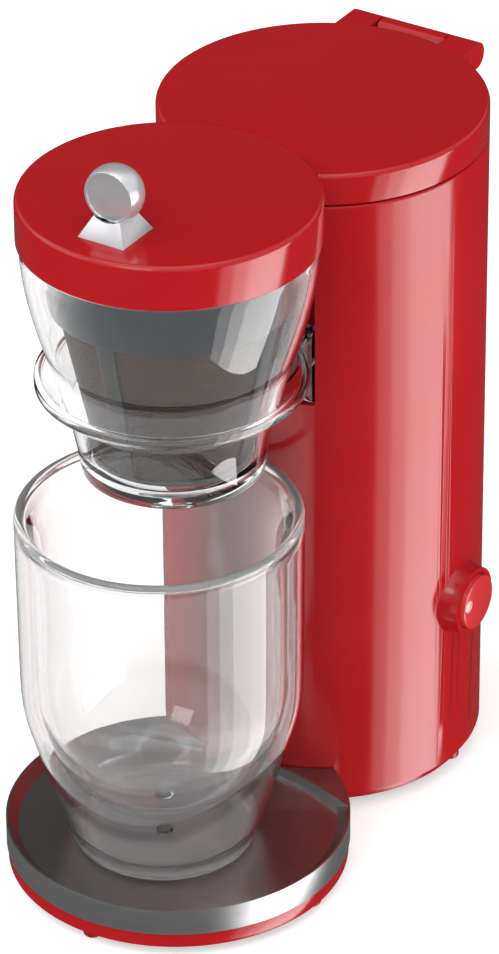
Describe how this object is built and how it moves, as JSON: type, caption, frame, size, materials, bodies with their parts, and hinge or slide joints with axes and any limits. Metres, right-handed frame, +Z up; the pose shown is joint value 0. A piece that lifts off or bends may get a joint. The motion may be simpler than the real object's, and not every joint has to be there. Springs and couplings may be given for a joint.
{
  "type": "drip coffee maker",
  "caption": "Compact drip coffee maker: round water column with a hinged lid, clear dripper with a reusable filter, and a double-walled glass on a steel drip tray.",
  "frame": {"origin": "on the table, under the middle of the part's bounding box", "axes": "+Z up; -Y towards the glass and dripper at the front; +X towards the side with the power button"},
  "size_m": [0.1145, 0.204, 0.2634],
  "materials": {
    "red_body": "gloss",
    "red_lid": "gloss",
    "red_foot": "satin",
    "button_red": "satin",
    "lamp": "gloss",
    "black_plastic": "matte",
    "white_plastic": "matte",
    "tank_plastic": "satin",
    "clear_plastic": "polished clear",
    "silicone": "matte",
    "cable": "matte",
    "black_rubber": "matte",
    "aluminium": "cast",
    "steel": "satin",
    "tray_steel": "brushed",
    "mesh_steel": "fine woven mesh",
    "dark_band": "dark mirror",
    "knob_chrome": "satin",
    "ceramic": "matte",
    "glass": "polished clear"
  },
  "bodies": {
    "housing": {"body_shell": "red_body", "base_moulding": "red_body", "base_cover": "black_plastic", "base_screws": "steel", "feet": "red_foot", "water_tank": "tank_plastic", "tank_screen": "mesh_steel", "inlet_hose": "silicone", "check_valve": "white_plastic", "heater": "aluminium", "heater_bracket": "steel", "thermostat": "ceramic", "thermal_fuse": "white_plastic", "riser_hose": "silicone", "outlet_nozzle": "white_plastic", "nozzle_gasket": "silicone", "terminal_block": "black_plastic", "switch_module": "black_plastic", "wiring": "cable", "cord_grommet": "black_rubber", "hinge_pin": "steel", "dripper_holder": "clear_plastic", "holder_screws": "steel", "button_spring": "steel"},
    "tank_lid": {"tank_lid": "red_lid"},
    "button": {"power_button": "button_red", "lamp_lens": "lamp"},
    "dripper": {"dripper_cup": "clear_plastic"},
    "filter": {"filter_frame": "dark_band", "filter_mesh": "mesh_steel"},
    "dripper_lid": {"dripper_lid": "red_lid", "shower_plate": "black_plastic", "knob_base": "knob_chrome", "knob_ball": "knob_chrome", "knob_screw": "steel"},
    "drip_tray": {"drip_tray": "tray_steel"},
    "glass": {"glass_outer": "glass", "glass_inner": "glass", "glass_plug": "silicone"}
  },
  "joints": [
    {"name": "tank_lid_hinge", "type": "hinge", "parent": "housing", "child": "tank_lid", "pos_m": [-0.00225, 0.0975, 0.23], "axis": [-1, 0, 0], "range_deg": [0, 95]},
    {"name": "button_press", "type": "slide", "parent": "housing", "child": "button", "axis": [-1, 0, 0], "range_m": [0, 0.0025], "stiffness_N_per_m": 300, "deforming": ["button_spring"]},
    {"name": "cup_lift", "type": "slide", "parent": "housing", "child": "dripper", "axis": [0, 0, 1], "range_m": [0, 0.11]},
    {"name": "filter_lift", "type": "slide", "parent": "dripper", "child": "filter", "axis": [0, 0, 1], "range_m": [0, 0.08]},
    {"name": "dripper_lid_lift", "type": "slide", "parent": "filter", "child": "dripper_lid", "axis": [0, 0, 1], "range_m": [0, 0.06]},
    {"name": "tray_slide", "type": "slide", "parent": "housing", "child": "drip_tray", "axis": [0, -1, 0], "range_m": [0, 0.13]},
    {"name": "glass_lift", "type": "slide", "parent": "drip_tray", "child": "glass", "axis": [0, 0, 1], "range_m": [0, 0.0115]}
  ]
}
